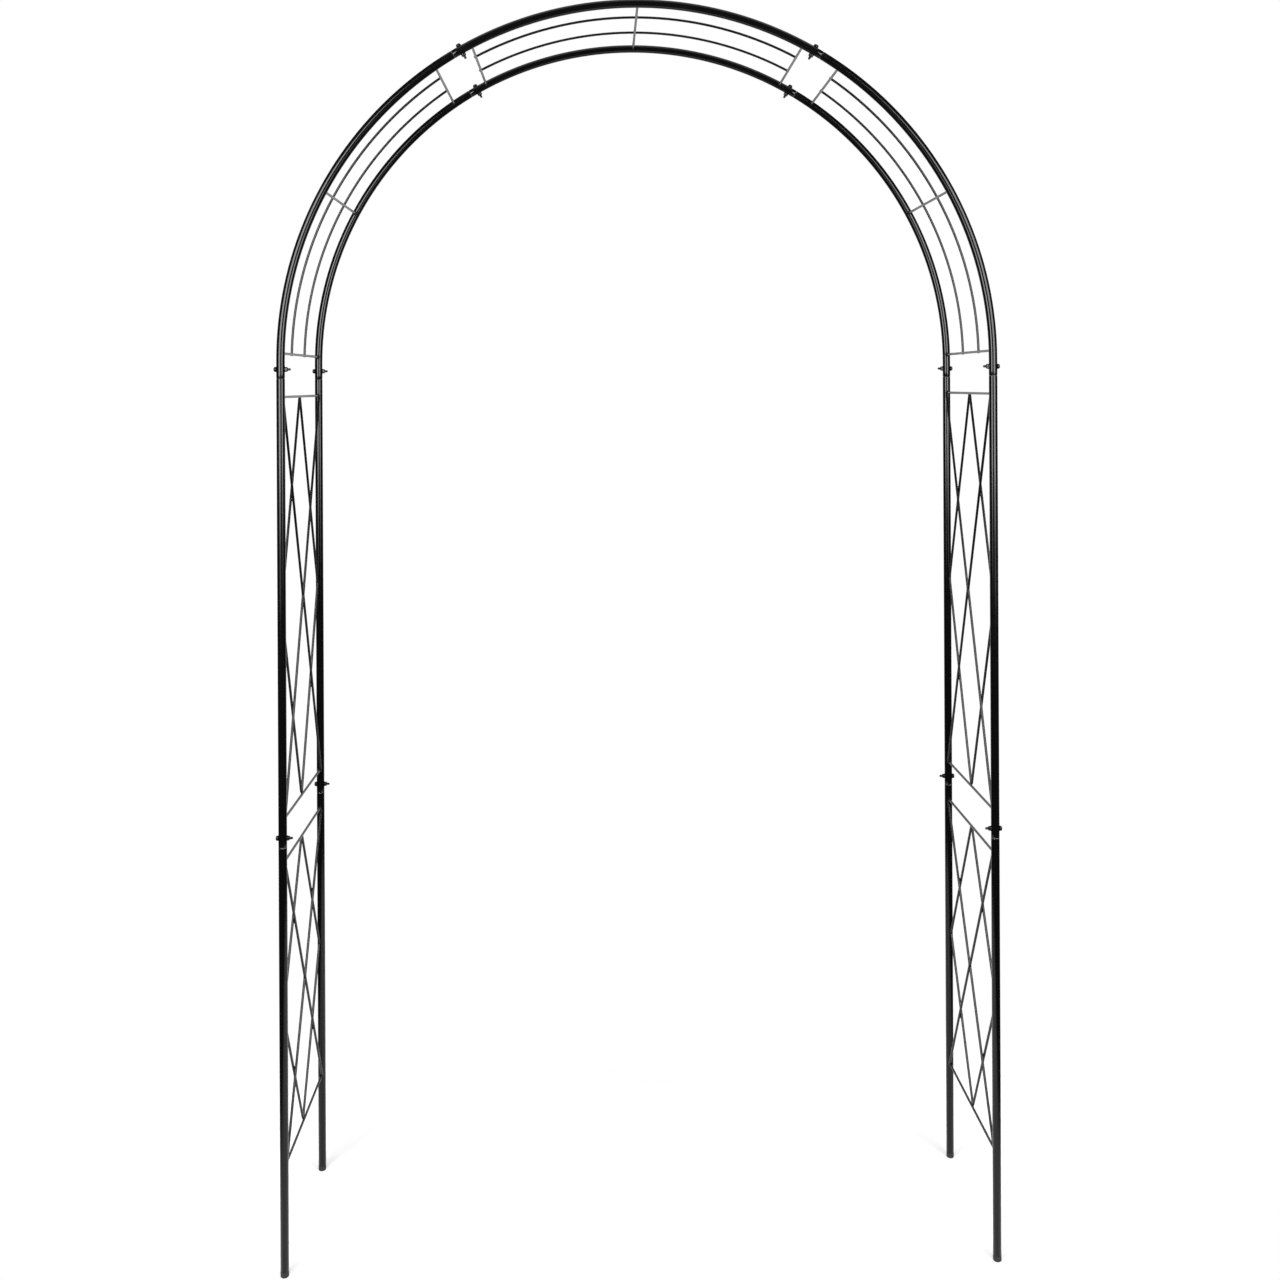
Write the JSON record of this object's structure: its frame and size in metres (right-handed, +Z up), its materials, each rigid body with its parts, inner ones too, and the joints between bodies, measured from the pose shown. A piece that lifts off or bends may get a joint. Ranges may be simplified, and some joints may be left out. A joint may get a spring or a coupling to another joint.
{
  "type": "garden trellis arch",
  "caption": "Garden arch of round steel tube: two hoops joined by rungs, a bent-wire diamond lattice up the sides and long wires over the top, in plug-together bolted sections.",
  "frame": {"origin": "on the ground, midway between the four feet", "axes": "+X across the walkway to the right seen from the front, +Y through the walkway to the rear, +Z up"},
  "size_m": [1.3734, 0.38, 2.4],
  "materials": {
    "tube_coat": "semi-gloss black powder coat on steel tube",
    "rod_coat": "satin black powder coat on steel rod",
    "fastener_steel": "black zinc-plated steel",
    "plug_plastic": "moulded black polyethylene"
  },
  "bodies": {
    "root": {"lower_left_front_leg": "tube_coat", "upper_left_front_post": "tube_coat", "left_arc_front_tube": "tube_coat", "left_arc_front_wire": "rod_coat", "lower_left_rear_leg": "tube_coat", "upper_left_rear_post": "tube_coat", "left_arc_rear_tube": "tube_coat", "left_arc_rear_wire": "rod_coat", "lower_left_bottom_rung": "rod_coat", "lower_left_top_rung": "rod_coat", "lower_left_front_diamond_wire": "rod_coat", "lower_left_front_cross_wire": "rod_coat", "lower_left_rear_diamond_wire": "rod_coat", "lower_left_rear_cross_wire": "rod_coat", "upper_left_bottom_rung": "rod_coat", "upper_left_top_rung": "rod_coat", "upper_left_front_diamond_wire": "rod_coat", "upper_left_front_cross_wire": "rod_coat", "upper_left_rear_diamond_wire": "rod_coat", "upper_left_rear_cross_wire": "rod_coat", "left_arc_bottom_rung": "rod_coat", "left_arc_middle_rung": "rod_coat", "left_arc_top_rung": "rod_coat", "crown_left_rung": "rod_coat", "lower_right_front_leg": "tube_coat", "upper_right_front_post": "tube_coat", "right_arc_front_tube": "tube_coat", "right_arc_front_wire": "rod_coat", "lower_right_rear_leg": "tube_coat", "upper_right_rear_post": "tube_coat", "right_arc_rear_tube": "tube_coat", "right_arc_rear_wire": "rod_coat", "lower_right_bottom_rung": "rod_coat", "lower_right_top_rung": "rod_coat", "lower_right_front_diamond_wire": "rod_coat", "lower_right_front_cross_wire": "rod_coat", "lower_right_rear_diamond_wire": "rod_coat", "lower_right_rear_cross_wire": "rod_coat", "upper_right_bottom_rung": "rod_coat", "upper_right_top_rung": "rod_coat", "upper_right_front_diamond_wire": "rod_coat", "upper_right_front_cross_wire": "rod_coat", "upper_right_rear_diamond_wire": "rod_coat", "upper_right_rear_cross_wire": "rod_coat", "right_arc_bottom_rung": "rod_coat", "right_arc_middle_rung": "rod_coat", "right_arc_top_rung": "rod_coat", "crown_right_rung": "rod_coat", "crown_front_tube": "tube_coat", "crown_front_wire": "rod_coat", "crown_rear_tube": "tube_coat", "crown_rear_wire": "rod_coat", "crown_middle_rung": "rod_coat", "joint_bolts": "fastener_steel", "joint_washers": "fastener_steel", "joint_nuts": "fastener_steel", "foot_plugs": "plug_plastic"}
  },
  "joints": []
}
